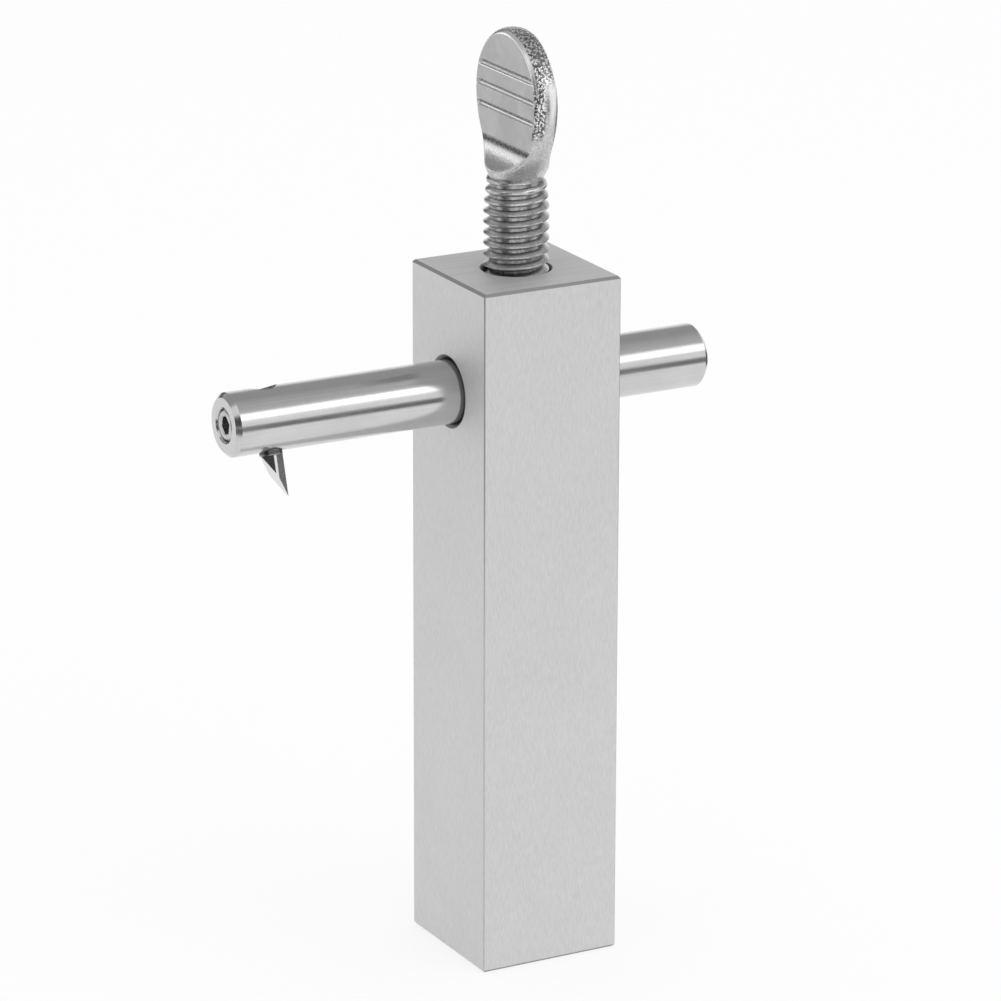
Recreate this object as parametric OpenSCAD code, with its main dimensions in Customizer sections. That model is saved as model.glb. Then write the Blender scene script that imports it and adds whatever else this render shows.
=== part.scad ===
// Center scribe: a square bar that stands on its end and carries a cross rod.
// A spade-headed thumb screw locks the rod, and the rod holds a ground scriber point.
// Millimetres, +Z up, origin at the centre of the bar's lower end, rod along X.

/* [Square body] */
// Width of the square bar across its flats
bar_w = 22.4; // [18:0.1:30]
// Height of the bar
bar_h = 104.2; // [70:0.1:150]
// Radius of the four long edges
edge_r = 0.3; // [0.2:0.1:2]
// Bevel round both ends of the bar
end_bevel = 0.4; // [0.1:0.1:1]

/* [Cross rod] */
// Diameter of the rod
rod_d = 9.4; // [7:0.1:11]
// Length of the rod
rod_l = 77.3; // [65:0.1:110]
// Reach of the rod's front end from the bar's middle, towards -X
rod_reach = 47.2; // [35:0.1:55]
// Depth of the rod's axis below the top of the bar
rod_drop = 17.2; // [13:0.1:25]
// Length of the turned bevel on the rod's ends
rod_bevel = 0.7; // [0.2:0.1:1.2]
// Bevel at both mouths of the rod's bore
bore_bevel = 0.7; // [0.2:0.05:1.2]

/* [Scriber] */
// Diameter of the scriber pin
pin_d = 3.4; // [2.4:0.1:4]
// Distance of the pin's axis from the rod's front end
pin_setback = 6.7; // [6:0.1:12]
// Length of the point that stands out of the rod
point_out = 6.65; // [4:0.05:10]
// Angle between the slanted cut and the pin's axis
point_angle = 28; // [15:1:40]
// Width of the round strip left on each corner between the point's four flats
land_w = 0.35; // [0.05:0.05:0.8]
// Length of the round collar left between the rod and the flats
collar_l = 0.45; // [0.1:0.05:1.5]
// Depth of the pin's butt end below the rod's surface
pin_sink = 0.4; // [0:0.1:1.5]
// Bevel at both mouths of the pin's hole
pin_bevel = 0.5; // [0.1:0.1:1]

/* [Set screw] */
// Diameter of the set screw
set_d = 4.8; // [3:0.1:5.6]
// Length of the set screw
set_l = 4.75; // [3:0.05:5]
// Width of the hexagon socket across its flats
key_w = 2.4; // [1.2:0.1:2.6]
// Depth of the hexagon socket
key_depth = 2.2; // [1:0.1:2.5]
// Bevel at both ends of the set screw
set_bevel = 0.4; // [0.1:0.1:0.8]
// Bevel at the mouth of the set screw's hole
set_mouth = 0.25; // [0.1:0.05:0.6]

/* [Thumb screw] */
// Diameter over the thread's crests
screw_d = 9.6; // [7:0.1:11]
// Length of thread between the bar and the head
screw_stand = 13.6; // [6:0.1:20]
// Bevel at the tip of the screw
tip_bevel = 1; // [0.3:0.1:2]
// Bevel at the mouth of the tapped hole
tap_bevel = 0.45; // [0.2:0.05:1.2]
// Diameter over the thread's last turn under the head
runout_d = 8.7; // [7:0.1:10]
// Length over which the thread tapers towards the head
runout_l = 4.5; // [0.5:0.1:6]

/* [Spade head] */
// Height of the head above the thread
head_h = 21.9; // [19:0.1:30]
// Width of the head across its edges
head_w = 19.1; // [12:0.1:26]
// Thickness between the two broad faces
head_t = 3.9; // [3:0.1:7]
// Crown of the rim: depth of the round blank that the broad faces are cut from
crown_d = 11.4; // [9:0.1:16]
// Height of the widest place above the thread
belly_h = 11.9; // [8:0.1:15]
// Diameter of the round neck on which the head stands
neck_d = 7.9; // [6:0.1:10]
// Height above the thread at which the broad faces begin
face_h = 5.45; // [4.5:0.05:8]
// Radius of the hollow between each broad face and the neck
hollow_r = 4.5; // [3:0.1:6]
// Grip grooves on each broad face
groove_count = 3; // [1:1:4]
// Height of the lowest groove above the thread
groove_h = 9.65; // [8:0.05:12]
// Spacing of the grooves
groove_pitch = 3.05; // [1.5:0.05:3.5]
// Width of the grooves
groove_w = 1; // [0.3:0.05:1.2]
// Depth of the grooves
groove_depth = 0.35; // [0.1:0.05:0.5]

/* [Fits] */
// Radial clearance of the rod in its bore
rod_clear = 0.05; // [0.02:0.01:0.1]
// Radial clearance of the pin in its hole
pin_clear = 0.04; // [0.02:0.01:0.1]
// Radial clearance of the set screw in its hole
set_clear = 0.05; // [0.02:0.01:0.1]
// Radial clearance of the thumb screw in its hole
screw_clear = 0.05; // [0.02:0.01:0.1]
// Gap between a screw's tip and the piece that it presses on
tip_gap = 0.05; // [0.02:0.01:0.2]

/* [Setting] */
// Roll of the rod in its bore, which leans the point towards -Y
rod_roll = 17; // [-60:1:60]
// Turn of the scriber in its hole, which brings the point towards -Y
pin_turn = 6; // [-90:1:90]

/* [Hidden] */
$fn = 72;
// Cutters start this far outside the face that they cut
past = 1;
rod_z = bar_h - rod_drop;
// The pin's place along X, and how far its ends lie from the rod's axis
pin_x = pin_setback - rod_reach;
point_reach = rod_d/2 + point_out;
butt_reach = rod_d/2 - pin_sink;
// Where the four flats of the point start, and how far they lie from the pin's axis
flats_reach = rod_d/2 + collar_l;
flat_in = pin_d/2*cos(45 - asin(land_w/pin_d));
set_tip_x = pin_x - pin_d/2 - tip_gap;
screw_tip_z = rod_z + rod_d/2 + tip_gap;
thread_top_z = bar_h + screw_stand;
// The head's rings: how many sides each has, and how many steps each stretch has
ring_sides = 40;
flare_steps = 14;
dome_steps = 10;

// Square outline with round corners
module round_square(w, r) {
    square([w, w - 2*r], center = true);
    square([w - 2*r, w], center = true);
    for (x = [-1, 1], y = [-1, 1])
        translate([x*(w/2 - r), y*(w/2 - r)]) circle(r);
}

// Cone that bevels a round mouth of radius r by b, with its mouth at z = 0 and opening upwards
module mouth_bevel(r, b) {
    translate([0, 0, -b]) cylinder(h = b + past, r1 = r, r2 = r + b + past);
}

// Lays a shape that stands on +Z along the rod, with +Z towards -X and the roll taken in
module along_rod() {
    translate([0, 0, rod_z]) rotate([-rod_roll, 0, 0]) rotate([0, -90, 0]) children();
}

// Moves a shape to the pin: +Z towards the butt end, +X towards the bar
module along_pin() {
    translate([0, 0, rod_z]) rotate([-rod_roll, 0, 0]) translate([pin_x, 0, 0]) children();
}

module square_body() {
    bore_r = rod_d/2 + rod_clear;
    tap_r = screw_d/2 + screw_clear;
    color("gainsboro") difference() {
        linear_extrude(bar_h) round_square(bar_w, edge_r);
        for (z = [0, bar_h], a = [0:90:270])
            rotate(a) translate([bar_w/2, 0, z]) rotate([0, 45, 0])
                cube([end_bevel*sqrt(2), bar_w + 2*past, end_bevel*sqrt(2)], center = true);
        translate([0, 0, rod_z]) rotate([0, 90, 0]) {
            cylinder(h = bar_w + 2*past, r = bore_r, center = true);
            for (flip = [0, 180]) rotate([flip, 0, 0])
                translate([0, 0, bar_w/2]) mouth_bevel(bore_r, bore_bevel);
        }
        translate([0, 0, rod_z]) cylinder(h = rod_drop + past, r = tap_r);
        translate([0, 0, bar_h]) mouth_bevel(tap_r, tap_bevel);
    }
}

module cross_rod() {
    r = rod_d/2;
    pin_hole_r = pin_d/2 + pin_clear;
    set_hole_r = set_d/2 + set_clear;
    color("silver") difference() {
        along_rod() translate([0, 0, rod_reach - rod_l]) rotate_extrude()
            polygon([[0, 0], [r - rod_bevel, 0], [r, rod_bevel],
                     [r, rod_l - rod_bevel], [r - rod_bevel, rod_l], [0, rod_l]]);
        along_rod() {
            translate([0, 0, -pin_x]) cylinder(h = pin_setback + past, r = set_hole_r);
            translate([0, 0, rod_reach]) mouth_bevel(set_hole_r, set_mouth);
        }
        along_pin() {
            cylinder(h = rod_d + 2*past, r = pin_hole_r, center = true);
            for (flip = [0, 180]) rotate([flip, 0, 0])
                translate([0, 0, r]) mouth_bevel(pin_hole_r, pin_bevel);
        }
    }
}

// Round pin whose end has four flats with a strip of the round between them, and is cut off
// at a slant, so that the tip is the corner nearest the bar
module scriber_point() {
    cut = 2*(point_reach + pin_d);
    color("dimgray") along_pin() rotate(-pin_turn) difference() {
        translate([0, 0, -point_reach]) cylinder(h = point_reach + butt_reach, r = pin_d/2);
        for (a = [45:90:315])
            rotate(a) translate([flat_in, -pin_d, -point_reach - past])
                cube([pin_d, 2*pin_d, point_reach - flats_reach + past]);
        translate([pin_d/2, 0, -point_reach]) rotate([0, -point_angle, 0])
            translate([-cut, -pin_d, -cut/2]) cube([cut, 2*pin_d, cut]);
    }
}

module set_screw() {
    r = set_d/2;
    color("darkgray") translate([set_tip_x, 0, 0]) along_rod() difference() {
        rotate_extrude()
            polygon([[0, 0], [r - set_bevel, 0], [r, set_bevel],
                     [r, set_l - set_bevel], [r - set_bevel, set_l], [0, set_l]]);
        translate([0, 0, set_l - key_depth])
            cylinder(h = key_depth + past, d = key_w/cos(30), $fn = 6);
    }
}

// Half width and half depth of the head's blank at height z above the thread
function flare(z, belly) = let (s = 1 - z/belly_h) belly - (belly - neck_d/2)*s*s;
function dome(z, belly) = let (s = (z - belly_h)/(head_h - belly_h)) belly*sqrt(1 - s*s);
function blank_half(z, belly) = z < belly_h ? flare(z, belly) : dome(z, belly);

// Round blank of the head: elliptic rings from the neck's round to the wide belly and the dome
module head_blank() {
    levels = concat(
        [for (k = [0:flare_steps - 1]) belly_h*k/flare_steps],
        [for (k = [0:dome_steps - 1]) belly_h + (head_h - belly_h)*sin(90*k/dome_steps)]);
    rings = len(levels);
    n = ring_sides;
    points = concat(
        [for (z = levels, k = [0:n - 1])
            [blank_half(z, crown_d/2)*cos(360*k/n), blank_half(z, head_w/2)*sin(360*k/n), z]],
        [[0, 0, head_h]]);
    walls = [for (j = [0:rings - 2], k = [0:n - 1])
        let (a = j*n + k, b = j*n + (k + 1)%n) each [[a, a + n, b + n], [a, b + n, b]]];
    cap = [for (k = [0:n - 1]) [(rings - 1)*n + k, rings*n, (rings - 1)*n + (k + 1)%n]];
    polyhedron(points, concat([[for (k = [0:n - 1]) k]], walls, cap));
}

// Takes one broad face off the blank on its +X side: the flat, the hollow below it and the grooves
module face_cut() {
    groove_r = (groove_w*groove_w/4 + groove_depth*groove_depth)/(2*groove_depth);
    translate([head_t/2, -head_w, face_h]) cube([crown_d, 2*head_w, head_h]);
    translate([head_t/2 + hollow_r, 0, face_h]) rotate([90, 0, 0])
        cylinder(h = 2*head_w, r = hollow_r, center = true);
    for (k = [0:groove_count - 1])
        translate([head_t/2 + groove_r - groove_depth, 0, groove_h + k*groove_pitch])
            rotate([90, 0, 0]) cylinder(h = 2*head_w, r = groove_r, center = true);
}

module thumb_screw() {
    r = screw_d/2;
    shank_l = thread_top_z - screw_tip_z;
    color("lightgray") {
        translate([0, 0, screw_tip_z]) rotate_extrude()
            polygon([[0, 0], [r - tip_bevel, 0], [r, tip_bevel], [r, shank_l - runout_l],
                     [runout_d/2, shank_l], [0, shank_l]]);
        translate([0, 0, thread_top_z]) difference() {
            head_blank();
            for (flip = [0, 180]) rotate(flip) face_cut();
        }
    }
}

square_body();
cross_rod();
scriber_point();
set_screw();
thumb_screw();
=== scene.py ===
"""Looks of a center scribe: a square bar, a cross rod with its scriber point, and two screws.

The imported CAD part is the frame. The bar, the rod and the scriber keep their CAD meshes and get
materials; the set screw and the thumb screw get fuller meshes in the same places.
"""

import math

import bmesh
import bpy
from bpy.props import FloatProperty, FloatVectorProperty, IntProperty, PointerProperty
from mathutils import Matrix, Vector


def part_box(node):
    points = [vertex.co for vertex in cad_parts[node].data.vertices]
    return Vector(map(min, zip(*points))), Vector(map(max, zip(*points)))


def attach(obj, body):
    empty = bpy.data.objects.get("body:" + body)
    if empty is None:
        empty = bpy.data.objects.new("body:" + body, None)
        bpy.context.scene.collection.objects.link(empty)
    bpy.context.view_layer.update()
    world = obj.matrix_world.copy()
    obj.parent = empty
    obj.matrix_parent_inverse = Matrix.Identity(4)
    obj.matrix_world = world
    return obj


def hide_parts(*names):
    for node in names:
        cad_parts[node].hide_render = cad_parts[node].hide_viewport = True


bl_info = {
    "name": "Center scribe",
    "version": (1, 0, 0),
    "blender": (4, 5, 0),
    "location": "View3D > Sidebar > Center scribe",
    "description": "Finishes the bar, rod, scriber and screws of a center scribe, and sets its stage",
    "category": "Object",
}

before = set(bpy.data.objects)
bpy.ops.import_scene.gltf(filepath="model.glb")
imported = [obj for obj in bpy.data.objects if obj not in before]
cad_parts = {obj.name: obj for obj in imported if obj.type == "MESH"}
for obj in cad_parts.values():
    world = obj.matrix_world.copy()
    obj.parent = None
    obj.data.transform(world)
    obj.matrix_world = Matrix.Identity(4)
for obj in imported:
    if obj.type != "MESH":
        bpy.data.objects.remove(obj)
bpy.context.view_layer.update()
MM = 0.001
ORIGIN = Vector((0, 0, 0))
ALONG_X = Vector((1, 0, 0))
ALONG_Z = Vector((0, 0, 1))

# Places that the frame gives
BAR_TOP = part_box("square_body")[1].z
ROD_LOW, ROD_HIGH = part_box("cross_rod")
ROD_MIDDLE = Vector((0, 0, (ROD_LOW.z + ROD_HIGH.z) / 2))
ROD_RADIUS = (ROD_HIGH.z - ROD_LOW.z) / 2
PIN_LOW, PIN_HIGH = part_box("scriber_point")
PIN_RADIUS = (PIN_HIGH.x - PIN_LOW.x) / 2
SET_LOW, SET_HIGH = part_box("set_screw")
THUMB_LOW, THUMB_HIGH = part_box("thumb_screw")

# Tool lines per metre along X, Y and Z: few along the way that the tool went, many across it
BAR_BRUSHED = (6500, 6500, 800)
BAR_MILLED = (60, 1900, 60)
ROD_DRAWN = (30, 4200, 4200)
POINT_GROUND = (500, 500, 6500)

# Handling marks: their number per metre, and their part of the tone
BAR_HANDLED = (60, 0.15)
ROD_HANDLED = (140, 0.5)
POINT_HANDLED = (700, 0.4)
SOCKET_HANDLED = (600, 0.5)

# Change of roughness at the dark end and at the light end of the tone
BAR_SPREAD = (-0.03, 0.03)
ROD_SPREAD = (0.05, -0.03)
POINT_SPREAD = (0.06, -0.06)
SOCKET_SPREAD = (0.06, -0.04)

# Zinc plate: stains per metre, grains per metre and the grain's part of the tone
PLATE_STAINS = 260
PLATE_GRAINS = 3000
GRAIN_PART = 0.35

# Spacing of turning rings, that of a wave texture's rings at a scale of 1, and the depths of tool lines
# and of the plate's grain
ROD_RINGS = 0.25 * MM
SOCKET_RINGS = 0.2 * MM
WAVE_RINGS = 0.314
DRAWN_DEPTH = 1.2e-6
LINE_DEPTH = 1.5e-6
THREAD_GRAIN = 4e-6
HEAD_GRAIN = 1.6e-4

# Painted shade on the walls of the holes: how far outside its piece's radius each starts to clear, and is
# clear
BORE_CLEARS = (0.1 * MM, 0.6 * MM)
TAP_CLEARS = (0.1 * MM, 0.5 * MM)
PIN_HOLE_CLEARS = (0.1 * MM, 0.55 * MM)

# Painted shade on the scriber where it leaves the rod: how far to both sides it starts to clear, and is
# clear
RING_CLEARS = (0.2 * MM, 0.7 * MM)

# Shares of the bar's height between which the painted shade on its long edges changes, and of the
# scriber's radius between which the painted highlight on its corners begins
EDGE_CHANGE = (0.43, 0.82)
CORNER_GLINT = (0.965, 0.98)

# Contrast of tool lines and of handling marks: the noise at which each is darkest, and lightest
LINE_CONTRAST = (0.28, 0.72)
BLOTCH_CONTRAST = (0.3, 0.7)

# How squarely a surface faces along an axis where the ends begin, where the bar's bevels begin, and where
# its broken edges begin
BAR_END = (0.6, 0.8)
ROD_END = (0.85, 0.95)
BEVEL_FACING = 0.3
BROKEN_EDGE = (0.96, 0.88)

# The way that the slanting cut of the scriber's point faces, and how squarely its surface does
CUT_WAY = (-0.878, -0.049, -0.476)
CUT_FACING = (0.97, 0.99)

# Marks and painted glints on the spade head: how far below its top each starts, and how far below it is full
ROUGH_TOP = (7.5 * MM, 5.5 * MM)
ROUGH_SIDE = (15.5 * MM, 13.5 * MM)
EDGE_GLINT_HEIGHTS = (8.5 * MM, 6.5 * MM)
BELLY_GLINT_LOWER = (14 * MM, 10 * MM)
BELLY_GLINT_UPPER = (5.5 * MM, 7.5 * MM)

# How squarely the head's surface faces along X off its broad faces, and on their edges
OFF_FACE = (0.985, 0.93)
ON_EDGE = (0.4, 0.54)

# Slant of the rim to one side where it is rough, and to the other where the painted glint on its belly lies
ROUGH_SLANT = (0.04, 0.2)
BELLY_GLINT_SLANT = (0.02, -0.12)

# Least and most roughness by height, most of the painted glint on the rim's belly, and the grain's height
# where nothing is rough
TOP_ROUGHNESS = (0.15, 0.8)
BELLY_GLINT_MOST = 0.75
SMOOTH_GRAIN = 0.12

# The grain between which pits, high spots and patches of grime and painted shade rise, and the grime and
# painted shade between which grooves do
PITS = (0.56, 0.46)
HIGH_SPOTS = (0.51, 0.59)
GRIME_AND_SHADE_PATCHES = (0.42, 0.55)
IN_GROOVE = (0.0, 0.05)

# Thread's ridge: half of its foot beside the pitch, its sink into the core, its least height above its
# foot, its start above the tip, its run into the neck and its slope there, the softness of its crest and
# the steps of one turn
RIDGE_FOOT = 0.39
RIDGE_SINK = 0.06 * MM
RIDGE_LEAST = 0.05 * MM
RIDGE_START = 0.25 * MM
RIDGE_RUN = 0.4 * MM
RUN_SLOPE = 2
CREST_SOFT = 0.07 * MM
TURN_STEPS = 60

# Thread's core: its share of the tip's bevel, its overlap with the head, its play in the neck and the
# length over which its grime and painted shade end
CORE_BEVEL = 0.2
CORE_OVERLAP = 0.3 * MM
NECK_PLAY = 0.03 * MM
GRIME_AND_SHADE_END = 0.6 * MM

# Grime and painted shade on the head: in a groove's lower half beside its upper half, and in the middle
# of the band of painted shade under each face
LOWER_GRIME_AND_SHADE = 0.25
BAND_SHADE = 1.6

# Sides of the turned shapes, rings and sides of the spade head, and distances that count as none
SOCKET_SIDES = 48
CORE_SIDES = 96
HEAD_RINGS = 360
HEAD_SIDES = 168
MERGE_DISTANCE = 1e-7
POLE_RADIUS = 1e-6

# Dark cards from the floor up, which only reflections show: name, direction in degrees, near end,
# far end, width at the near end, width at the far end, rise in degrees
DARK_CARDS = (
    ("card_front", -64, 0.33, 1.8, 0.16, 0.55, 6),
    ("card_left", -166, 0.25, 1.5, 0.25, 0.6, 0),
    ("card_right", 8, 0.25, 1.5, 0.3, 0.7, 0),
)
CARD_LIFT = 0.5 * MM
CARD_GREY = (0.04, 0.04, 0.04, 1)

# Places in the world that only reflections show: direction, and the cosines between which each fades
DARK_SIDE = ((-0.93, -0.3, 0.2), 0.85, 0.95)
DARK_BACK = ((0, 0.98, 0.18), 0.96, 0.985)
WHITE_PATCH = ((-0.79, -0.05, 0.58), 0.93, 0.98)

# Sky: where it changes from front to back and from right to left, the heights between which the white
# horizon fades into it, and how much lower they lie on the left
FRONT_TO_BACK = (-0.4, 0.4)
RIGHT_TO_LEFT = (0.1, -0.4)
HORIZON = (0.22, 0.48)
LEFT_DROP = 0.04

# Softboxes: name, width, height and direction from the rod, all at one distance
SOFTBOXES = (
    ("softbox", 0.9, 0.31, (0.4537, -0.707, 0.542)),
    ("back_softbox", 0.16, 0.16, (-0.465, 0.857, 0.22)),
)
SOFTBOX_DISTANCE = 0.9
FLOOR_SIZE = 5


def length(name, description, default):
    """A length property in metres."""
    return FloatProperty(name=name, description=description, default=default, unit="LENGTH", precision=5)


def angle(name, description, degrees):
    """An angle property, with its default in degrees."""
    return FloatProperty(
        name=name, description=description, default=math.radians(degrees), subtype="ANGLE"
    )


def grey(name, description, default):
    """A colour property."""
    return FloatVectorProperty(
        name=name, description=description, default=default, subtype="COLOR", size=3, min=0, max=1
    )


def share(name, description, default):
    """A property from 0 to 1."""
    return FloatProperty(
        name=name, description=description, default=default, subtype="FACTOR", min=0, max=1
    )


def power(name, description, default):
    """A lamp's power in watts."""
    return FloatProperty(name=name, description=description, default=default, unit="POWER")


class FinishLook(bpy.types.PropertyGroup):
    """Colours and gloss of the five finishes."""

    bar_dark: grey("Bar lines", "Brushed lines in the satin aluminium", (0.6, 0.6, 0.605))
    bar_light: grey("Bar", "Satin aluminium between the lines", (0.7, 0.7, 0.705))
    bar_gloss: share("Bar roughness", "Roughness of the satin aluminium", 0.56)
    bar_metal: share("Bar metal", "Share of clear metal beside the matt skin", 0.7)
    bar_end: share("Bar ends", "Share of white that milling adds to the bar's ends", 0.08)
    # The next four are painted shade: on the long edges near the top and near the foot, on the bevels and on
    # the holes' walls
    top_edge_shade: share("Bar edge", "Brightness of the broken long edges beside the bar, near its top", 0.5)
    foot_edge_shade: share("Bar edge low", "Brightness of the long edges beside the bar, near its foot", 0.84)
    bevel_shade: share("Bar bevel", "Brightness of the bevels at the bar's ends beside the bar", 0.5)
    bar_hole_shade: share("Bar hole", "Brightness of the holes' walls beside the bar", 0.1)
    rod_dark: grey("Rod lines", "Drawing lines in the polished steel", (0.57, 0.57, 0.575))
    rod_light: grey("Rod", "Polished steel between the lines", (0.66, 0.66, 0.665))
    rod_gloss: share("Rod roughness", "Roughness of the polished steel", 0.19)
    # Painted shade on the scriber hole's walls, and on the ring where the scriber leaves the rod
    rod_hole_shade: share("Rod hole", "Brightness of the scriber hole's walls beside the rod", 0.15)
    point_dark: grey("Scriber lines", "Grinding lines in the tool steel", (0.2, 0.2, 0.205))
    point_light: grey("Scriber", "Dull tool steel between the lines", (0.32, 0.32, 0.325))
    # The scriber's cut colour is also the painted highlight on its corners
    point_cut_and_glint: grey("Scriber cut", "Fresh cut of the point and its worn corners", (0.72, 0.72, 0.725))
    point_gloss: share("Scriber roughness", "Roughness of the ground tool steel", 0.24)
    socket_dark: grey("Set screw lines", "Turning lines on the set screw", (0.42, 0.42, 0.425))
    socket_light: grey("Set screw", "Steel of the set screw", (0.6, 0.6, 0.605))
    socket_gloss: share("Set screw roughness", "Roughness of the set screw", 0.26)
    plate_dark: grey("Plate stains", "Dull places in the zinc plate", (0.52, 0.52, 0.525))
    plate_light: grey("Plate", "Zinc plate of the thumb screw", (0.66, 0.66, 0.665))
    plate_gloss: share("Plate roughness", "Roughness of the zinc plate", 0.28)
    # Colour of the grime and painted shade in the grooves, the thread's root and the band under each face,
    # and of the rim's pits
    plate_dirt_and_shade: grey("Dirt", "Old oil in the grooves and the thread", (0.06, 0.06, 0.062))
    rim_pits: share("Rim pits", "Darkness of the pits in the head's forged rim", 0.9)
    # The next two are painted glints on the head's rim and grooves; the first also colours the bright high
    # spots
    bare_metal_and_glint: grey("Worn metal", "Bright metal where the head's rim is worn", (0.93, 0.93, 0.935))
    groove_glint: share("Worn grooves", "Share of bright metal on the flanks of the grip grooves", 0.45)
    face_tone: share("Face tone", "Brightness of the pressed faces beside the plate", 0.76)
    face_gloss: share("Face roughness", "Roughness of the pressed faces", 0.38)


class SetScrewSizes(bpy.types.PropertyGroup):
    """Sizes of the hexagon-socket set screw."""

    diameter: length("Diameter", "Diameter of the set screw", SET_HIGH.z - SET_LOW.z)
    reach: length("Length", "Length of the set screw", SET_HIGH.x - SET_LOW.x)
    bevel: length("Bevel", "Bevel at both ends", 0.4 * MM)
    key_width: length("Key width", "Width of the socket across its flats", 2.4 * MM)
    key_depth: length("Key depth", "Depth of the socket", 2.2 * MM)
    key_mouth: length("Key mouth", "Bevel at the mouth of the socket", 0.15 * MM)
    roll: angle("Roll", "Roll of the rod in its bore", 17)


class ThreadSizes(bpy.types.PropertyGroup):
    """Sizes of the thumb screw's thread."""

    crest: length("Crest diameter", "Diameter over the crests", 9.6 * MM)
    pitch: length("Pitch", "Rise of one turn", 25.4 / 16 * MM)
    stand: length("Stand", "Length of thread between the bar and the head", 13.6 * MM)
    tip_bevel: length("Tip bevel", "Bevel at the tip", 1.0 * MM)
    last_turn: length("Last turn", "Diameter over the last turn under the head", 8.7 * MM)
    runout: length("Runout", "Length over which the thread tapers towards the head", 4.5 * MM)
    start: angle("Start", "Turn at which the thread starts", 68)


class HeadSizes(bpy.types.PropertyGroup):
    """Sizes of the thumb screw's spade head, with heights above the thread."""

    width: length("Width", "Width across the edges", THUMB_HIGH.y - THUMB_LOW.y)
    thickness: length("Thickness", "Thickness between the broad faces", 3.9 * MM)
    crown: length("Crown", "Depth of the round blank that the faces are pressed into", 11.4 * MM)
    belly: length("Belly height", "Height of the widest place", 11.9 * MM)
    neck: length("Neck diameter", "Diameter of the round neck", 7.9 * MM)
    face: length("Face height", "Height at which the broad faces begin", 5.45 * MM)
    hollow: length("Hollow radius", "Radius of the hollow under each face", 4.5 * MM)
    edge: length("Edge", "Softness of the edges round the faces", 0.75 * MM)
    grooves: IntProperty(name="Grooves", description="Grip grooves on each face", default=3, min=1, max=4)
    groove_height: length("Groove height", "Height of the lowest groove", 9.65 * MM)
    groove_pitch: length("Groove pitch", "Spacing of the grooves", 3.05 * MM)
    groove_width: length("Groove width", "Width of the grooves", 1.0 * MM)
    groove_depth: length("Groove depth", "Depth of the grooves", 0.35 * MM)
    groove_end: length("Groove end", "Length over which a groove runs out towards the rim", 1.0 * MM)
    # Height of the band of painted shade under each face
    shade_band: length("Dirt band", "Height of the dirty band under each face", 1.3 * MM)


class StageLook(bpy.types.PropertyGroup):
    """Camera, floor and light."""

    eye: FloatVectorProperty(
        name="Camera",
        description="Place of the camera",
        default=(-0.369554, -0.677096, 0.317233),
        size=3,
        subtype="TRANSLATION",
    )
    azimuth: angle("Azimuth", "Turn of the camera", -28.464)
    elevation: angle("Elevation", "Height angle of the camera", 17.859)
    tilt: angle("Tilt", "Tilt of the camera", 0.146)
    lens: FloatProperty(name="Lens", description="Focal length on a 36 mm sensor", default=198.46)
    floor: grey("Floor", "Colour of the pale floor", (0.9, 0.9, 0.9))
    shade: share("Shade", "Share of the floor that takes the object's shadow", 0.2)
    sky_front: share("Front light", "Light from above in front", 0.58)
    sky_back: share("Back light", "Light from above behind", 0.4)
    sky_dark: share("Dark places", "Light from the dark places beside and behind", 0.08)
    softbox: power("Softbox", "Power of the softbox in front", 1.3)
    back_softbox: power("Back softbox", "Power of the small softbox behind", 0.12)


class ScribeLook(bpy.types.PropertyGroup):
    """All that a user would change."""

    finish: PointerProperty(type=FinishLook)
    set_screw: PointerProperty(type=SetScrewSizes)
    thread: PointerProperty(type=ThreadSizes)
    head: PointerProperty(type=HeadSizes)
    stage: PointerProperty(type=StageLook)


def add(tree, kind, values=None, **options):
    """Adds a node with its options, and sets or links its inputs."""
    made = tree.nodes.new(kind)
    for key, option in options.items():
        setattr(made, key, option)
    for key, value in (values or {}).items():
        if isinstance(value, bpy.types.NodeSocket):
            tree.links.new(value, made.inputs[key])
        else:
            made.inputs[key].default_value = value
    return made


def math_node(tree, operation, first, second=0.0):
    """One sum on two values."""
    return add(tree, "ShaderNodeMath", {0: first, 1: second}, operation=operation).outputs[0]


def times(tree, first, second):
    """The product of two values."""
    return math_node(tree, "MULTIPLY", first, second)


def highest(tree, first, second):
    """The higher of two values."""
    return math_node(tree, "MAXIMUM", first, second)


def vector_node(tree, operation, *given):
    """One sum on vectors, which gives a value where it is a length or a dot product."""
    made = add(tree, "ShaderNodeVectorMath", dict(enumerate(given)), operation=operation)
    return made.outputs["Value" if operation in ("LENGTH", "DOT_PRODUCT") else "Vector"]


def span(tree, value, low, high, to_low=0.0, to_high=1.0, smooth=True):
    """Maps a value from one span to another."""
    made = add(
        tree,
        "ShaderNodeMapRange",
        {"Value": value, "From Min": low, "From Max": high, "To Min": to_low, "To Max": to_high},
        interpolation_type="SMOOTHSTEP" if smooth else "LINEAR",
    )
    return made.outputs["Result"]


def mix_values(tree, factor, low, high):
    """A value between two others."""
    return add(tree, "ShaderNodeMix", {0: factor, 2: low, 3: high}, data_type="FLOAT").outputs[0]


def mix_colours(tree, factor, low, high):
    """A colour between two others, which are colours or sockets."""
    ends = [end if isinstance(end, bpy.types.NodeSocket) else (*end, 1) for end in (low, high)]
    return add(tree, "ShaderNodeMix", {0: factor, 6: ends[0], 7: ends[1]}, data_type="RGBA").outputs[2]


def toward(tree, way, aim, low, high):
    """How near a direction comes to an aim: 0 up to the low cosine, 1 from the high one."""
    return span(tree, vector_node(tree, "DOT_PRODUCT", way, Vector(aim).normalized()), low, high)


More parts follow.
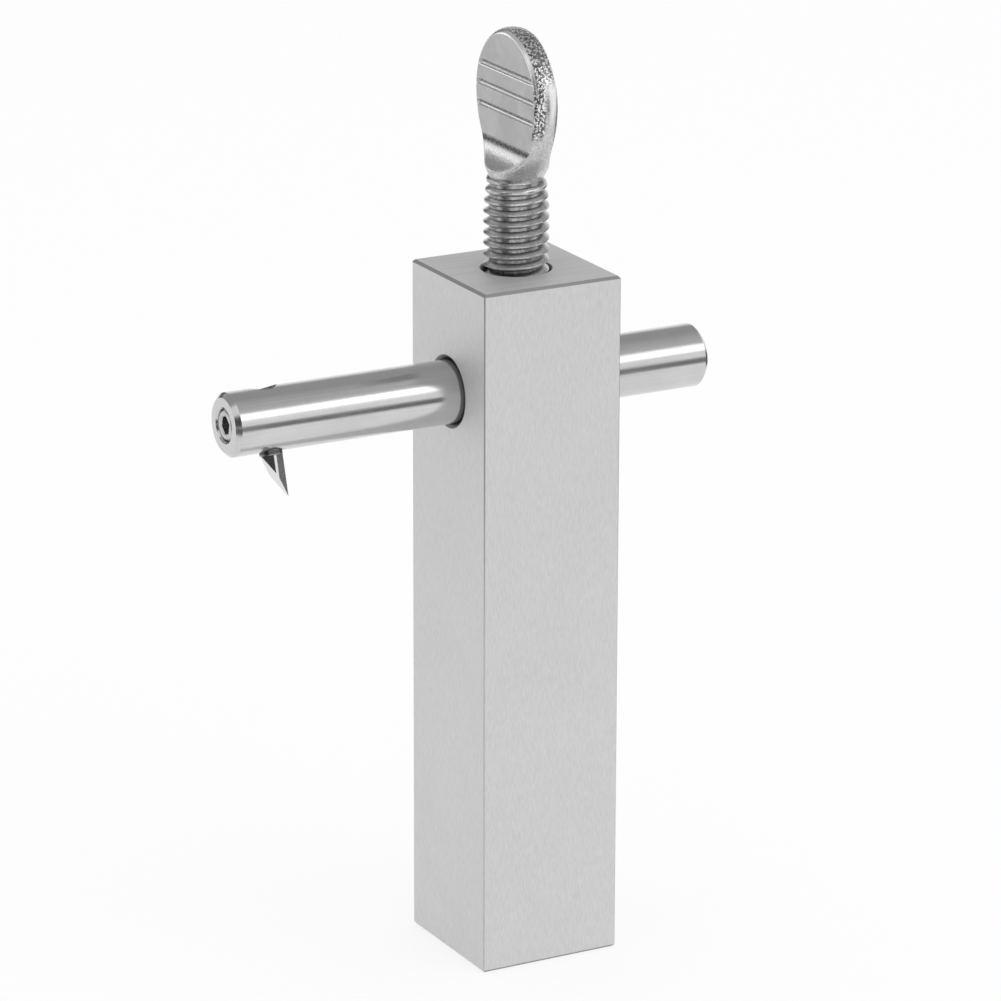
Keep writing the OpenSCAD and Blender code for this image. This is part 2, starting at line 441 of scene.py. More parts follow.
def new_group(name, inputs, output):
    """An empty node group with its sockets, and its two end nodes."""
    tree = bpy.data.node_groups.new(name, "ShaderNodeTree")
    for socket_name, kind in inputs:
        tree.interface.new_socket(socket_name, in_out="INPUT", socket_type=kind)
    tree.interface.new_socket(output, in_out="OUTPUT", socket_type="NodeSocketFloat")
    return tree, tree.nodes.new("NodeGroupInput").outputs, tree.nodes.new("NodeGroupOutput").inputs


def tool_lines_group():
    """Fine parallel lines, as brushing, drawing and grinding leave them: a number per metre each way."""
    name = "tool_lines"
    if name in bpy.data.node_groups:
        return bpy.data.node_groups[name]
    inputs = [("Vector", "NodeSocketVector"), ("Number", "NodeSocketVector")]
    tree, given, made = new_group(name, inputs, "Lines")
    spread = vector_node(tree, "MULTIPLY", given["Vector"], given["Number"])
    noise = add(
        tree, "ShaderNodeTexNoise", {"Vector": spread, "Scale": 1.0, "Detail": 3.0, "Roughness": 0.6}
    )
    tree.links.new(span(tree, noise.outputs["Fac"], *LINE_CONTRAST), made["Lines"])
    return tree


def handling_group():
    """Broad soft blotches, as handling and uneven plating leave them."""
    name = "handling"
    if name in bpy.data.node_groups:
        return bpy.data.node_groups[name]
    inputs = [("Vector", "NodeSocketVector"), ("Number", "NodeSocketFloat")]
    tree, given, made = new_group(name, inputs, "Blotches")
    noise = add(
        tree,
        "ShaderNodeTexNoise",
        {"Vector": given["Vector"], "Scale": given["Number"], "Detail": 4.0, "Distortion": 0.6},
    )
    tree.links.new(span(tree, noise.outputs["Fac"], *BLOTCH_CONTRAST), made["Blotches"])
    return tree


class Metal:
    """A metal material: its tree, its coordinates and its Principled shader."""

    def __init__(self, name):
        self.material = bpy.data.materials.new(name)
        self.material.use_nodes = True
        self.tree = self.material.node_tree
        self.shader = self.tree.nodes["Principled BSDF"]
        self.shader.inputs["Metallic"].default_value = 1.0
        coordinates = add(self.tree, "ShaderNodeTexCoord").outputs
        self.place = coordinates["Object"]
        self.normal = coordinates["Normal"]

    def parts(self, vector):
        """The X, Y and Z of a vector."""
        return add(self.tree, "ShaderNodeSeparateXYZ", {"Vector": vector}).outputs

    def facing(self, axis):
        """How squarely the surface faces along an axis, from 0 to 1."""
        return math_node(self.tree, "ABSOLUTE", self.parts(self.normal)[axis])

    def edges(self):
        """Where the surface faces between two axes, as bevels and broken edges do."""
        squarest = highest(self.tree, self.facing("X"), self.facing("Y"))
        squarest = highest(self.tree, squarest, self.facing("Z"))
        return span(self.tree, squarest, *BROKEN_EDGE)

    def away_from(self, point, direction, low, high):
        """0 up to a low distance from a line through a point, 1 from the high one."""
        moved = vector_node(self.tree, "SUBTRACT", self.place, point)
        across = vector_node(self.tree, "CROSS_PRODUCT", moved, direction)
        return span(self.tree, vector_node(self.tree, "LENGTH", across), low, high)

    def outside(self, point, direction, radius, clears):
        """0 inside a round hole about a line through a point, 1 where the metal is clear of it."""
        start, end = clears
        return self.away_from(point, direction, radius + start, radius + end)

    def along(self, point, direction, low, high):
        """0 up to a low distance from a point along a direction, 1 from the high one."""
        moved = vector_node(self.tree, "SUBTRACT", self.place, point)
        return span(self.tree, vector_node(self.tree, "DOT_PRODUCT", moved, direction), low, high)

    def lines(self, number, place=None):
        """Tool lines, with a number per metre each way."""
        values = {"Vector": place or self.place, "Number": number}
        return add(self.tree, "ShaderNodeGroup", values, node_tree=tool_lines_group()).outputs["Lines"]

    def blotches(self, number):
        """Handling marks, with a number per metre."""
        values = {"Vector": self.place, "Number": number}
        return add(self.tree, "ShaderNodeGroup", values, node_tree=handling_group()).outputs["Blotches"]

    def handled(self, marks, number, part):
        """Tool marks with a part of handling marks among them."""
        return mix_values(self.tree, part, marks, self.blotches(number))

    def turned(self, centre, spacing):
        """Turning rings about a line along X through a centre."""
        moved = add(self.tree, "ShaderNodeMapping", {"Vector": self.place, "Location": -centre})
        scale = WAVE_RINGS / spacing
        rings = add(
            self.tree,
            "ShaderNodeTexWave",
            {"Vector": moved.outputs["Vector"], "Scale": scale, "Distortion": 1.5, "Detail": 2.0},
            wave_type="RINGS",
            rings_direction="X",
        )
        return rings.outputs["Fac"]

    def coloured(self, colour):
        """Base colour from a socket."""
        self.tree.links.new(colour, self.shader.inputs["Base Color"])

    def tinted(self, colour, tint):
        """Base colour darkened by a value."""
        self.coloured(vector_node(self.tree, "MULTIPLY", colour, tint))

    def gloss(self, factor, low, high):
        """Roughness between two values."""
        self.tree.links.new(
            span(self.tree, factor, 0, 1, low, high, smooth=False), self.shader.inputs["Roughness"]
        )

    def uneven_gloss(self, tone, middle, spread):
        """Roughness that changes with the tone, about a middle value."""
        at_dark, at_light = spread
        self.gloss(tone, middle + at_dark, middle + at_light)

    def relief(self, height, depth):
        """Bump of a true depth in metres."""
        bump = add(self.tree, "ShaderNodeBump", {"Height": height, "Distance": depth, "Strength": 1.0})
        self.tree.links.new(bump.outputs["Normal"], self.shader.inputs["Normal"])


def dress(node, material):
    """Gives a CAD node its material."""
    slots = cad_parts[node].data.materials
    slots.clear()
    slots.append(material)


def new_object(name, bm, material):
    """Makes a bmesh an object in the scene, with one material."""
    mesh = bpy.data.meshes.new(name)
    bm.to_mesh(mesh)
    bm.free()
    mesh.materials.append(material)
    made = bpy.data.objects.new(name, mesh)
    bpy.context.scene.collection.objects.link(made)
    return made


def new_piece(name, bm, material, sharp):
    """Makes a closed bmesh an object with smooth shading up to an angle in degrees."""
    bmesh.ops.recalc_face_normals(bm, faces=bm.faces)
    piece = new_object(name, bm, material)
    piece.data.shade_smooth()
    piece.data.set_sharp_from_angle(angle=math.radians(sharp))
    return piece


def chain(bm, points):
    """A chain of vertices and edges in the XZ plane, from (radius, height) pairs."""
    verts = [bm.verts.new((r, 0, z)) for r, z in points]
    edges = [bm.edges.new(pair) for pair in zip(verts, verts[1:])]
    return verts, edges


def revolve(bm, points, steps):
    """Turns a chain of points round the Z axis, and closes it where it ends on the axis."""
    verts, edges = chain(bm, points)
    bmesh.ops.spin(
        bm,
        geom=verts + edges,
        cent=ORIGIN,
        axis=ALONG_Z,
        angle=math.tau,
        steps=steps,
        use_merge=True,
    )
    bmesh.ops.remove_doubles(bm, verts=bm.verts, dist=MERGE_DISTANCE)


def pin_line(roll):
    """A point on the scriber's axis, and the axis's direction, for a roll of the rod."""
    middle = Vector(((PIN_LOW.x + PIN_HIGH.x) / 2, 0, ROD_MIDDLE.z))
    return middle, Matrix.Rotation(-roll, 3, "X") @ ALONG_Z


class FinishBar(bpy.types.Operator):
    """Brushes the square bar: lines along its sides, milling lines on its ends"""

    bl_idname = "center_scribe.finish_bar"
    bl_label = "Finish the bar"

    def execute(self, context):
        scribe = context.scene.center_scribe
        look = scribe.finish
        metal = Metal("satin_aluminium_brushed")
        tree = metal.tree

        # Brushed sides and whiter milled ends
        on_end = span(tree, metal.facing("Z"), *BAR_END)
        marks = mix_values(tree, on_end, metal.lines(BAR_BRUSHED), metal.lines(BAR_MILLED))
        tone = metal.handled(marks, *BAR_HANDLED)
        brushed = mix_colours(tree, tone, look.bar_dark, look.bar_light)
        milled = mix_colours(tree, times(tree, on_end, look.bar_end), brushed, (1.0, 1.0, 1.0))

        # Painted shade on the long edges, darker near the top, and on the bevels
        low, high = EDGE_CHANGE
        near_top = metal.along(ORIGIN, ALONG_Z, low * BAR_TOP, high * BAR_TOP)
        shade_by_height = mix_values(tree, near_top, look.foot_edge_shade, look.top_edge_shade)
        bevel = math_node(tree, "GREATER_THAN", metal.facing("Z"), BEVEL_FACING)
        shade_on_edges = mix_values(tree, bevel, shade_by_height, look.bevel_shade)
        edges = mix_values(tree, metal.edges(), 1.0, shade_on_edges)

        # Painted shade on the walls of the rod's bore and the tapped hole
        off_bore = metal.outside(ROD_MIDDLE, ALONG_X, ROD_RADIUS, BORE_CLEARS)
        off_tap = metal.outside(ORIGIN, ALONG_Z, scribe.thread.crest / 2, TAP_CLEARS)
        shade_in_holes = mix_values(tree, times(tree, off_bore, off_tap), look.bar_hole_shade, 1.0)

        metal.tinted(milled, times(tree, edges, shade_in_holes))
        metal.shader.inputs["Metallic"].default_value = look.bar_metal
        metal.uneven_gloss(tone, look.bar_gloss, BAR_SPREAD)
        metal.relief(marks, LINE_DEPTH)
        dress("square_body", metal.material)
        return {"FINISHED"}


class FinishRod(bpy.types.Operator):
    """Polishes the cross rod: drawing lines along it, turning rings on its ends"""

    bl_idname = "center_scribe.finish_rod"
    bl_label = "Finish the rod"

    def execute(self, context):
        scribe = context.scene.center_scribe
        look = scribe.finish
        metal = Metal("polished_steel_drawn")
        tree = metal.tree
        on_end = span(tree, metal.facing("X"), *ROD_END)
        rings = metal.turned(ROD_MIDDLE, ROD_RINGS)
        marks = mix_values(tree, on_end, metal.lines(ROD_DRAWN), rings)
        tone = metal.handled(marks, *ROD_HANDLED)
        drawn = mix_colours(tree, tone, look.rod_dark, look.rod_light)
        middle, axis = pin_line(scribe.set_screw.roll)
        # Painted shade on the walls of the scriber's hole
        off_hole = metal.outside(middle, axis, PIN_RADIUS, PIN_HOLE_CLEARS)
        metal.tinted(drawn, mix_values(tree, off_hole, look.rod_hole_shade, 1.0))
        metal.uneven_gloss(tone, look.rod_gloss, ROD_SPREAD)
        metal.relief(marks, DRAWN_DEPTH)
        dress("cross_rod", metal.material)
        return {"FINISHED"}


class FinishScriber(bpy.types.Operator):
    """Grinds the scriber: fine lines across its dull flats, a bright cut and painted highlights on its
    corners
    """

    bl_idname = "center_scribe.finish_scriber"
    bl_label = "Finish the scriber"

    def execute(self, context):
        scribe = context.scene.center_scribe
        look = scribe.finish
        roll = scribe.set_screw.roll
        middle, axis = pin_line(roll)
        metal = Metal("ground_tool_steel_lines")
        tree = metal.tree

        # Dull flats, with the bright cut and the painted highlight on the corners
        upright = add(tree, "ShaderNodeMapping", {"Vector": metal.place, "Rotation": (roll, 0.0, 0.0)})
        marks = metal.lines(POINT_GROUND, upright.outputs["Vector"])
        tone = metal.handled(marks, *POINT_HANDLED)
        dull = mix_colours(tree, tone, look.point_dark, look.point_light)
        fresh = toward(tree, metal.normal, CUT_WAY, *CUT_FACING)
        low, high = CORNER_GLINT
        glinting = metal.away_from(middle, axis, low * PIN_RADIUS, high * PIN_RADIUS)
        steel = mix_colours(tree, highest(tree, fresh, glinting), dull, look.point_cut_and_glint)

        # Painted shade: a dark ring where the pin leaves the rod
        start, end = RING_CLEARS
        below = metal.along(middle, -axis, ROD_RADIUS + start, ROD_RADIUS + end)
        inside = metal.along(middle, -axis, ROD_RADIUS - start, ROD_RADIUS - end)
        metal.tinted(steel, mix_values(tree, highest(tree, below, inside), look.rod_hole_shade, 1.0))
        metal.uneven_gloss(tone, look.point_gloss, POINT_SPREAD)
        metal.relief(marks, LINE_DEPTH)
        dress("scriber_point", metal.material)
        return {"FINISHED"}


class MakeSetScrew(bpy.types.Operator):
    """Makes the hexagon-socket set screw in the rod's front end"""

    bl_idname = "center_scribe.make_set_screw"
    bl_label = "Make the set screw"

    def execute(self, context):
        scribe = context.scene.center_scribe
        look, sizes = scribe.finish, scribe.set_screw
        metal = Metal("socket_screw_steel_turned")
        tree = metal.tree
        rings = metal.turned(ROD_MIDDLE, SOCKET_RINGS)
        tone = metal.handled(rings, *SOCKET_HANDLED)
        metal.coloured(mix_colours(tree, tone, look.socket_dark, look.socket_light))
        metal.uneven_gloss(tone, look.socket_gloss, SOCKET_SPREAD)
        metal.relief(rings, LINE_DEPTH)

        # The turned screw, open at its head
        radius = sizes.diameter / 2
        reach = sizes.reach
        bm = bmesh.new()
        profile = [
            (0, 0),
            (radius - sizes.bevel, 0),
            (radius, sizes.bevel),
            (radius, reach - sizes.bevel),
            (radius - sizes.bevel, reach),
        ]
        revolve(bm, profile, SOCKET_SIDES)
        loops = [[edge for edge in bm.edges if edge.is_boundary]]

        # The socket: a bevelled mouth, six walls and a drilled floor
        corner = sizes.key_width / 2 / math.cos(math.pi / 6)
        for r, z in (
            (corner + sizes.key_mouth, reach),
            (corner, reach - sizes.key_mouth),
            (corner, reach - sizes.key_depth),
        ):
            ring = bmesh.ops.create_circle(
                bm, cap_ends=False, segments=6, radius=r, matrix=Matrix.Translation((0, 0, z))
            )
            loops.append(list({edge for vert in ring["verts"] for edge in vert.link_edges}))
        for outer, inner in zip(loops, loops[1:]):
            bmesh.ops.bridge_loops(bm, edges=outer + inner)
        floor = bmesh.ops.edgeloop_fill(bm, edges=loops[-1])["faces"]
        drilled = bmesh.ops.poke(bm, faces=floor)["verts"]
        bmesh.ops.translate(bm, verts=drilled, vec=(0, 0, -corner / 2))

        along_rod = (
            Matrix.Translation((SET_HIGH.x, 0, ROD_MIDDLE.z))
            @ Matrix.Rotation(-sizes.roll, 4, "X")
            @ Matrix.Rotation(-math.pi / 2, 4, "Y")
        )
        bmesh.ops.transform(bm, matrix=along_rod, verts=bm.verts)
        piece = new_piece("set_screw_socket", bm, metal.material, sharp=30)
        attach(piece, "clamp_screw")
        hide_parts("set_screw")
        return {"FINISHED"}


def plated(name, look, grain_depth, least_grime_and_shade):
    """Zinc plate with dull places, grime and painted shade in its low places, painted glints on the head
    and, round the head's rim, a forged grain.
    """
    metal = Metal(name)
    tree = metal.tree
    grain = add(
        tree,
        "ShaderNodeTexNoise",
        {"Vector": metal.place, "Scale": PLATE_GRAINS, "Detail": 2.0, "Roughness": 0.6},
    ).outputs["Fac"]
    grime = add(tree, "ShaderNodeAttribute", attribute_name="grime").outputs["Fac"]
    height = metal.parts(metal.place)["Z"]
    normal = metal.parts(metal.normal)
    slant = times(tree, normal["X"], normal["Y"])
    off_face = span(tree, metal.facing("X"), *OFF_FACE)

    def below_top(start, full, least=0.0, most=1.0):
        """A mark that starts at one depth below the head's top and is full at another."""
        return span(tree, height, THUMB_HIGH.z - start, THUMB_HIGH.z - full, least, most)

    # Painted glints: on the upper edges of the faces, on the grooves' flanks and on one half of the rim's
    # belly
    on_edge = times(tree, off_face, span(tree, metal.facing("X"), *ON_EDGE))
    in_groove = span(tree, grime, *IN_GROOVE)
    edge_glint = times(tree, on_edge, mix_values(tree, in_groove, below_top(*EDGE_GLINT_HEIGHTS), look.groove_glint))
    belly_glint = times(tree, below_top(*BELLY_GLINT_LOWER), below_top(*BELLY_GLINT_UPPER))
    belly_glint = times(tree, belly_glint, span(tree, slant, *BELLY_GLINT_SLANT, 0.0, BELLY_GLINT_MOST))
    glinting = highest(tree, edge_glint, belly_glint)

    # Rough places: the rim's top and the half of it beside each face, with dark pits and bright high spots
    beside_face = times(tree, span(tree, slant, *ROUGH_SLANT), below_top(*ROUGH_SIDE))
    rough = highest(tree, below_top(*ROUGH_TOP, *TOP_ROUGHNESS), beside_face)
    rough = times(tree, times(tree, off_face, rough), math_node(tree, "SUBTRACT", 1.0, glinting))
    pits = times(tree, rough, span(tree, grain, *PITS))
    high_spots = times(tree, rough, span(tree, grain, *HIGH_SPOTS))

    # Colour: dull faces, bright plate and bare metal with the painted glints, under the grime and painted
    # shade
    tone = mix_values(tree, GRAIN_PART, metal.blotches(PLATE_STAINS), grain)
    bright = mix_colours(tree, tone, look.plate_dark, look.plate_light)
    dull = mix_colours(tree, tone, look.plate_dark * look.face_tone, look.plate_light * look.face_tone)
    bare = mix_colours(tree, highest(tree, glinting, high_spots), bright, look.bare_metal_and_glint)
    plate = mix_colours(tree, off_face, dull, bare)
    patchy = times(tree, grime, span(tree, grain, *GRIME_AND_SHADE_PATCHES, least_grime_and_shade, 1.0))
    dirt_shade_and_pits = highest(tree, patchy, times(tree, pits, look.rim_pits))
    metal.coloured(mix_colours(tree, dirt_shade_and_pits, plate, look.plate_dirt_and_shade))

    metal.gloss(off_face, look.face_gloss, look.plate_gloss)
    metal.relief(times(tree, grain, mix_values(tree, rough, SMOOTH_GRAIN, 1.0)), grain_depth)
    return metal.material


def ridge_section(foot, crest, pitch):
    """The thread's ridge as (radius, height) pairs, from its lower foot over its crest to its upper foot."""
    half_foot = RIDGE_FOOT * pitch
    half_flat = pitch / 16
    slope = (half_foot - half_flat) / (crest - foot)
    lower = [
        (foot, -half_foot),
        ((foot + crest) / 2, (crest - foot) / 2 * slope - half_foot),
        (crest - CREST_SOFT, -half_flat - CREST_SOFT * slope),
        (crest, CREST_SOFT / 2 - half_flat),
    ]
    return lower + [(r, -z) for r, z in reversed(lower)]


class MakeThread(bpy.types.Operator):
    """Makes the thumb screw's shank: a core and one helical ridge that fades at both ends"""

    bl_idname = "center_scribe.make_thread"
    bl_label = "Make the thread"

    def execute(self, context):
        scribe = context.scene.center_scribe
        look, sizes = scribe.finish, scribe.thread
        pitch = sizes.pitch
        tip = THUMB_LOW.z
        top = BAR_TOP + sizes.stand
        crest = sizes.crest / 2
        last = sizes.last_turn / 2
        neck = scribe.head.neck / 2
        # A thread of 60 degrees is five eighths as deep as its sharp triangle
        root = crest - 5 / 8 * pitch * math.cos(math.pi / 6)
        foot = root - RIDGE_SINK

        # The ridge, wound round the axis
        bm = bmesh.new()
        lead = RIDGE_FOOT * pitch + RIDGE_START
        verts, edges = chain(bm, [(r, tip + lead + z) for r, z in ridge_section(foot, crest, pitch)])
        edges.append(bm.edges.new((verts[-1], verts[0])))
        steps = round((top + RIDGE_RUN - tip - lead) / pitch * TURN_STEPS)
        bmesh.ops.spin(
            bm,
            geom=verts + edges,
            cent=ORIGIN,
            axis=ALONG_Z,
            dvec=(0, 0, pitch / TURN_STEPS),
            angle=math.tau * steps / TURN_STEPS,
            steps=steps,
        )
        caps = bmesh.ops.holes_fill(bm, edges=[edge for edge in bm.edges if edge.is_boundary])["faces"]
        start = sizes.start + math.tau * lead / pitch
        bmesh.ops.rotate(bm, verts=bm.verts, cent=ORIGIN, matrix=Matrix.Rotation(start, 3, "Z"))

        # The ridge is cut down by the tip's bevel and by the runout, and sinks into the neck
        for vert in bm.verts:
            at_tip = crest - sizes.tip_bevel + max(vert.co.z - tip, 0)
            below = top - vert.co.z
            at_head = last + below * ((crest - last) / sizes.runout if below > 0 else RUN_SLOPE)
            limit = max(min(crest, at_tip, at_head), foot + RIDGE_LEAST)
            reach = math.hypot(vert.co.x, vert.co.y)
            if reach > limit:
                vert.co.x *= limit / reach
                vert.co.y *= limit / reach
        bmesh.ops.poke(bm, faces=caps)

        core = [
            (0, tip),
            (min(root, crest - sizes.tip_bevel), tip),
            (root, tip + CORE_BEVEL * sizes.tip_bevel),
            (root, top - CORE_OVERLAP),
            (neck - NECK_PLAY, top + CORE_OVERLAP),
            (0, top + CORE_OVERLAP),
        ]
        revolve(bm, core, CORE_SIDES)

        # Grime and painted shade lie in the root and end just under the head
        grime = bm.verts.layers.float.new("grime")
        root_shade_depth = (foot + crest) / 2 - root
        for vert in bm.verts:
            above_root = (math.hypot(vert.co.x, vert.co.y) - root) / root_shade_depth
            below_head = (top - vert.co.z) / GRIME_AND_SHADE_END
            vert[grime] = max(min(1 - above_root, below_head, 1), 0)
        material = plated("plated_steel_thread", look, THREAD_GRAIN, least_grime_and_shade=0.6)
        piece = new_piece("thumb_screw_thread", bm, material, sharp=35)
        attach(piece, "lock_screw")
        return {"FINISHED"}


class MakeHead(bpy.types.Operator):
    """Makes the thumb screw's spade head: a forged blank with two pressed faces, hollows and grip grooves"""

    bl_idname = "center_scribe.make_head"
    bl_label = "Make the spade head"

    def execute(self, context):
        scribe = context.scene.center_scribe
        look, sizes = scribe.finish, scribe.head
        base = BAR_TOP + scribe.thread.stand
        tall = THUMB_HIGH.z - base
        neck = sizes.neck / 2
        half_face = sizes.thickness / 2
        groove_round = (sizes.groove_width**2 / 4 + sizes.groove_depth**2) / (2 * sizes.groove_depth)

        def half(z, belly):
            """Half width of the blank at a height."""
            if z < sizes.belly:
                s = 1 - z / sizes.belly
                return belly - (belly - neck) * s * s
            s = (z - sizes.belly) / (tall - sizes.belly)
            return belly * math.sqrt(max(1 - s * s, 0))

        def hollow_at(z):
            """How far the hollow under the broad face rises from the face at a height."""
            drop = max(sizes.face - z, 0)
            return sizes.hollow - math.sqrt(max(sizes.hollow**2 - drop * drop, 0))

        def groove_at(z):
            """Depth of the groove at a height, and how far the height lies above the groove's middle."""
            offs = [z - sizes.groove_height - k * sizes.groove_pitch for k in range(sizes.grooves)]
            off = min(offs, key=abs)
            inside = max(groove_round**2 - off * off, 0)
            return max(math.sqrt(inside) - (groove_round - sizes.groove_depth), 0), off

        bm = bmesh.new()
        bmesh.ops.create_uvsphere(bm, u_segments=HEAD_SIDES, v_segments=HEAD_RINGS, radius=1)
        grime = bm.verts.layers.float.new("grime")
        for vert in bm.verts:
            # The sphere becomes the blank: its lower half the flare, its upper half the dome
            if vert.co.z < 0:
                z = sizes.belly * (1 + 2 * math.asin(max(vert.co.z, -1)) / math.pi)
            else:
                z = sizes.belly + (tall - sizes.belly) * min(vert.co.z, 1)
            crown, width = half(z, sizes.crown / 2), half(z, sizes.width / 2)
            ring = math.hypot(vert.co.x, vert.co.y)
            at_pole = ring < POLE_RADIUS
            x = 0 if at_pole else crown * vert.co.x / ring
            y = 0 if at_pole else width * vert.co.y / ring

            # The blank is pressed to the faces, with soft edges
            rim = width * math.sqrt(max(1 - (half_face / crown) ** 2, 0)) if crown > half_face else 0
            groove, off = groove_at(z)
            groove *= max(min((rim - abs(y)) / sizes.groove_end, 1), 0)
            limit = half_face + hollow_at(z) - groove
            blend = max(sizes.edge - abs(abs(x) - limit), 0) / sizes.edge
            inner = min(abs(x), limit) - blend * blend * sizes.edge / 4
            vert.co = (math.copysign(max(inner, 0), x), y, base + z)

            # Grime and painted shade lie in each groove, most in its upper half, and in a band under the
            # face
            if abs(x) > limit:
                in_groove = groove / sizes.groove_depth * (1.0 if off > 0 else LOWER_GRIME_AND_SHADE)
                under_face = 1 - abs((sizes.face - z) / sizes.shade_band * 2 - 1)
                vert[grime] = max(in_groove, BAND_SHADE * under_face, 0)
        material = plated("plated_steel_forged", look, HEAD_GRAIN, least_grime_and_shade=0.5)
        piece = new_piece("thumb_screw_spade", bm, material, sharp=60)
        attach(piece, "lock_screw")
        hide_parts("thumb_screw")
        return {"FINISHED"}


def lay_sheet(name, size, near_width, far_width, place, material):
    """A flat stage sheet, of its own width at each end."""
    bm = bmesh.new()
    bmesh.ops.create_grid(bm, x_segments=1, y_segments=1, size=0.5)
    near = [vert for vert in bm.verts if vert.co.x < 0]
    far = [vert for vert in bm.verts if vert.co.x > 0]
    bmesh.ops.scale(bm, vec=(size, near_width, 1), verts=near)
    bmesh.ops.scale(bm, vec=(size, far_width, 1), verts=far)
    bmesh.ops.transform(bm, matrix=place, verts=bm.verts)
    sheet = new_object(name, bm, material)
    return sheet


def lay_floor(look):
    """Lays the pale floor, which is white to the camera and in reflections but for a share of its shadow."""
    pale = bpy.data.materials.new("pale_floor")
    pale.use_nodes = True
    tree = pale.node_tree
    tree.nodes.clear()
    rays = add(tree, "ShaderNodeLightPath").outputs
    seen = highest(tree, rays["Is Camera Ray"], rays["Is Glossy Ray"])
    seen = highest(tree, seen, rays["Is Transmission Ray"])
    plain = add(tree, "ShaderNodeBsdfDiffuse", {"Color": (*look.floor, 1)}).outputs[0]
    white = add(tree, "ShaderNodeEmission", {"Strength": 1.0}).outputs[0]
    factor = times(tree, seen, 1 - look.shade)
    blend = add(tree, "ShaderNodeMixShader", {0: factor, 1: plain, 2: white})
    add(tree, "ShaderNodeOutputMaterial", {"Surface": blend.outputs[0]})
    lay_sheet("stage_floor", FLOOR_SIZE, FLOOR_SIZE, FLOOR_SIZE, Matrix.Identity(4), pale)


def lay_dark_cards():
    """Lays the dark cards on the floor."""
    dark = bpy.data.materials.new("dark_card")
    dark.use_nodes = True
    dark.node_tree.nodes["Principled BSDF"].inputs["Base Color"].default_value = CARD_GREY
    for name, aim, near, far, near_width, far_width, rise in DARK_CARDS:
        lie = (
            Matrix.Rotation(math.radians(aim), 4, "Z")
            @ Matrix.Translation((near, 0, CARD_LIFT))
            @ Matrix.Rotation(-math.radians(rise), 4, "Y")
            @ Matrix.Translation(((far - near) / 2, 0, 0))
        )
        card = lay_sheet(name, far - near, near_width, far_width, lie, dark)
        card.visible_camera = False
        card.visible_diffuse = False
        card.visible_shadow = False


def light_world(look):
    """Lights the world: white low down, dimmer above, with dark and white places for reflections."""
    world = bpy.data.worlds.new("studio")
    world.use_nodes = True
    bpy.context.scene.world = world
    tree = world.node_tree
    way = add(tree, "ShaderNodeTexCoord").outputs["Generated"]
    parts = add(tree, "ShaderNodeSeparateXYZ", {"Vector": way}).outputs
    above = span(tree, parts["Y"], *FRONT_TO_BACK, look.sky_front, look.sky_back)
    left = span(tree, parts["X"], *RIGHT_TO_LEFT)
    climb = math_node(tree, "ADD", parts["Z"], times(tree, left, LEFT_DROP))
    level = mix_values(tree, span(tree, climb, *HORIZON), 1.0, above)
    for place in (DARK_SIDE, DARK_BACK):
        level = mix_values(tree, toward(tree, way, *place), level, look.sky_dark)
    level = highest(tree, level, toward(tree, way, *WHITE_PATCH))
    rays = add(tree, "ShaderNodeLightPath").outputs
    plain = highest(tree, rays["Is Camera Ray"], rays["Is Diffuse Ray"])
    background = tree.nodes["Background"].inputs
    tree.links.new(highest(tree, level, plain), background["Strength"])
    background["Color"].default_value = (1, 1, 1, 1)


def hang_softboxes(look):
    """Hangs the softboxes round the object, each turned to the rod."""
    for name, wide, high, direction in SOFTBOXES:
        lamp = bpy.data.lights.new(name, "AREA")
        lamp.shape = "RECTANGLE"
        lamp.size = wide
        lamp.size_y = high
        lamp.energy = getattr(look, name)
        box = bpy.data.objects.new(name, lamp)
        bpy.context.scene.collection.objects.link(box)
        outward = Vector(direction)
        box.location = ROD_MIDDLE + outward * SOFTBOX_DISTANCE
        box.rotation_euler = (-outward).to_track_quat("-Z", "Y").to_euler()
        box.visible_camera = False


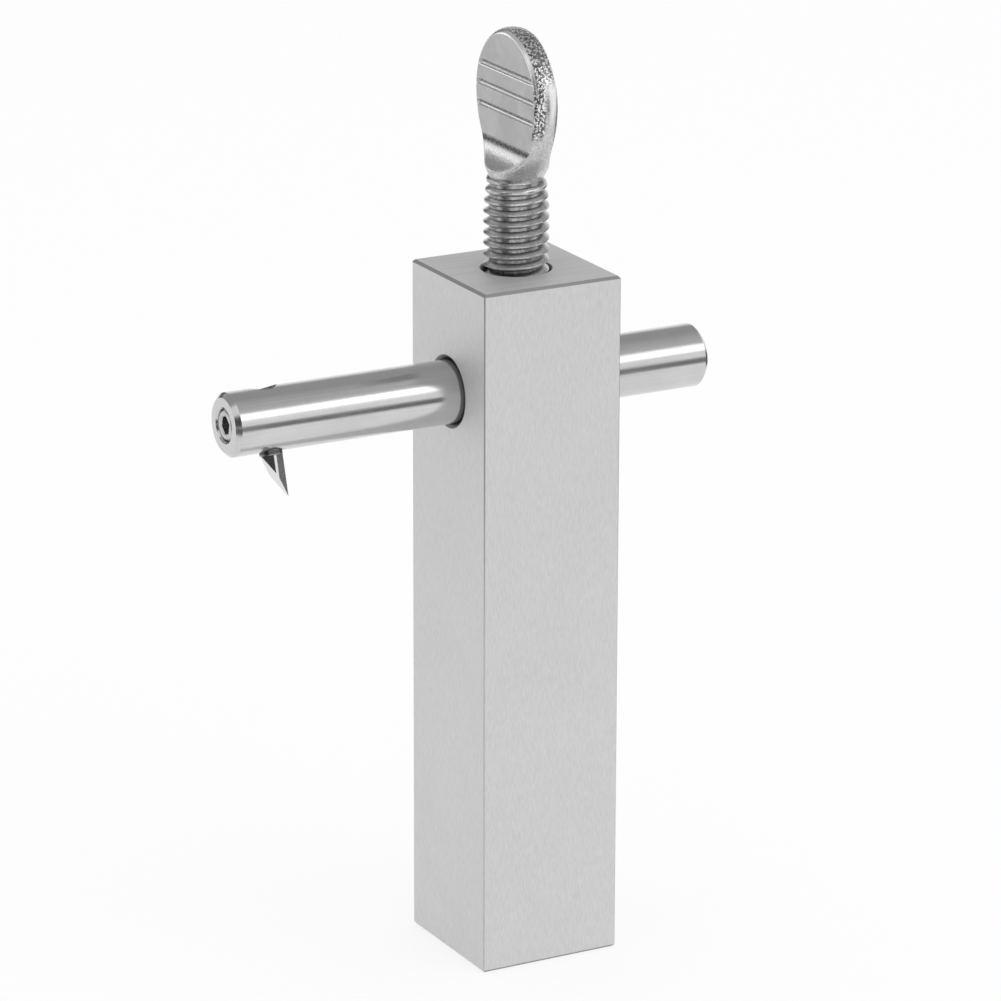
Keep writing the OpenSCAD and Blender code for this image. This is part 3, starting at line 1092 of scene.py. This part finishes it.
def place_camera(look):
    """Places the camera at the photograph's viewing angle."""
    scene = bpy.context.scene
    camera = bpy.data.objects.new("camera", bpy.data.cameras.new("camera"))
    scene.collection.objects.link(camera)
    camera.data.sensor_width = 36
    camera.data.lens = look.lens
    camera.data.clip_start = 0.01
    camera.data.clip_end = 20
    camera.matrix_world = (
        Matrix.Translation(look.eye)
        @ Matrix.Rotation(look.azimuth, 4, "Z")
        @ Matrix.Rotation(math.pi / 2 - look.elevation, 4, "X")
        @ Matrix.Rotation(look.tilt, 4, "Z")
    )
    scene.camera = camera


class SetStage(bpy.types.Operator):
    """Sets the pale floor, the studio light and the camera"""

    bl_idname = "center_scribe.set_stage"
    bl_label = "Set the stage"

    def execute(self, context):
        look = context.scene.center_scribe.stage
        context.scene.view_settings.view_transform = "Standard"
        lay_floor(look)
        lay_dark_cards()
        light_world(look)
        hang_softboxes(look)
        place_camera(look)
        return {"FINISHED"}


class ScribePanel(bpy.types.Panel):
    """Lists the steps and what can be changed"""

    bl_idname = "VIEW3D_PT_center_scribe"
    bl_label = "Center scribe"
    bl_space_type = "VIEW_3D"
    bl_region_type = "UI"
    bl_category = "Center scribe"

    def draw(self, context):
        layout = self.layout
        for step in STEPS:
            layout.operator(step.bl_idname)
        scribe = context.scene.center_scribe
        for group in (scribe.finish, scribe.set_screw, scribe.thread, scribe.head, scribe.stage):
            column = layout.column(align=True)
            for key in group.__annotations__:
                column.prop(group, key)


STEPS = (FinishBar, FinishRod, FinishScriber, MakeSetScrew, MakeThread, MakeHead, SetStage)
GROUPS = (FinishLook, SetScrewSizes, ThreadSizes, HeadSizes, StageLook, ScribeLook)
CLASSES = GROUPS + STEPS + (ScribePanel,)


def register():
    """Registers the classes, and gives each scene its look."""
    for cls in CLASSES:
        bpy.utils.register_class(cls)
    bpy.types.Scene.center_scribe = PointerProperty(type=ScribeLook)


def unregister():
    """Takes the look from each scene, and unregisters the classes."""
    del bpy.types.Scene.center_scribe
    for cls in reversed(CLASSES):
        bpy.utils.unregister_class(cls)


def main():
    """Registers the add-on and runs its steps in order."""
    register()
    bpy.ops.center_scribe.finish_bar()
    bpy.ops.center_scribe.finish_rod()
    bpy.ops.center_scribe.finish_scriber()
    bpy.ops.center_scribe.make_set_screw()
    bpy.ops.center_scribe.make_thread()
    bpy.ops.center_scribe.make_head()
    bpy.ops.center_scribe.set_stage()


if __name__ == "__main__":
    main()
